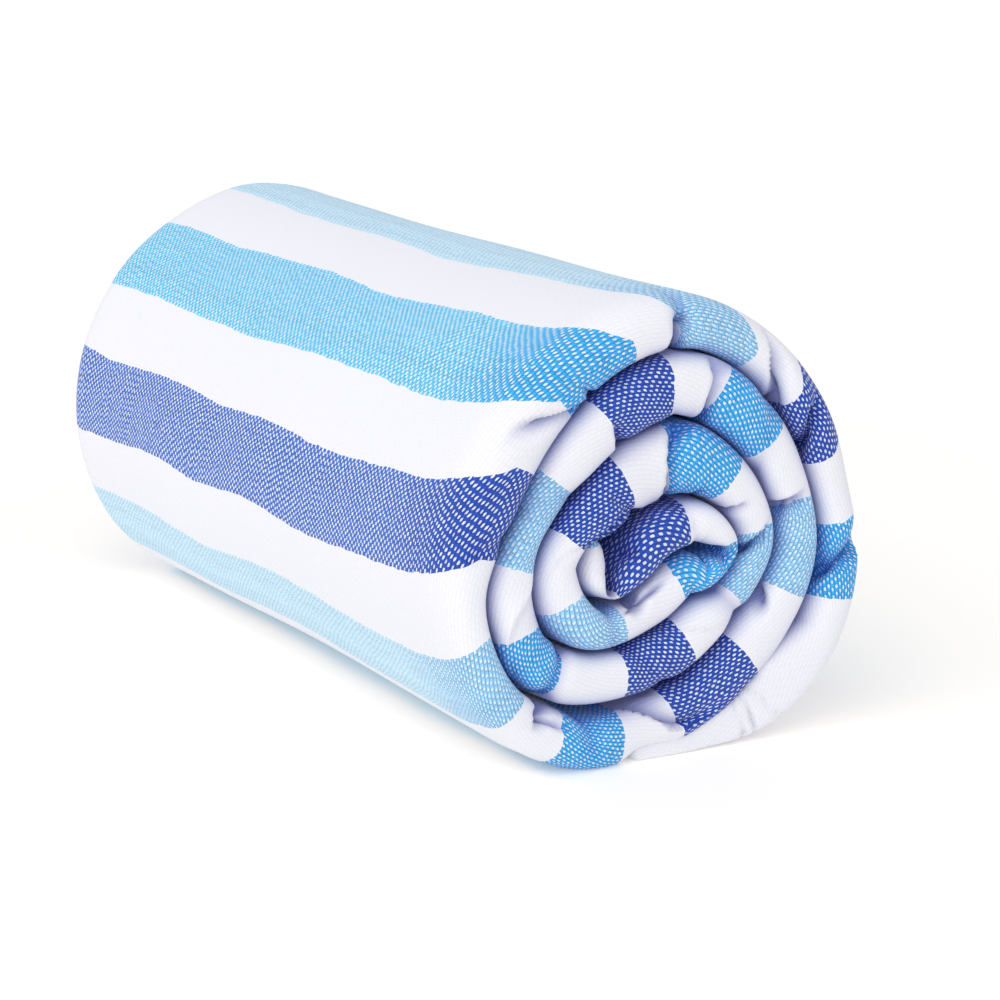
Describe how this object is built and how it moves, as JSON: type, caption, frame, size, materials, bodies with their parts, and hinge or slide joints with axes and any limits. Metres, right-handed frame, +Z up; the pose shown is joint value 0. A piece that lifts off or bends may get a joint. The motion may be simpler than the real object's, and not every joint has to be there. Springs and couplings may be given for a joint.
{
  "type": "beach blanket",
  "caption": "Striped cotton beach blanket, folded lengthwise and rolled into a soft roll that lies on its side.",
  "frame": {"origin": "on the floor under the middle of the roll", "axes": "+Y along the roll, away from the end with the folded edges; +Z up; +X to the right as that end is looked at"},
  "size_m": [0.2303, 0.4551, 0.2212],
  "materials": {
    "cotton_cloth": "soft plain-woven cotton, matt"
  },
  "bodies": {
    "root": {"rolled_blanket": "cotton_cloth"}
  },
  "joints": []
}
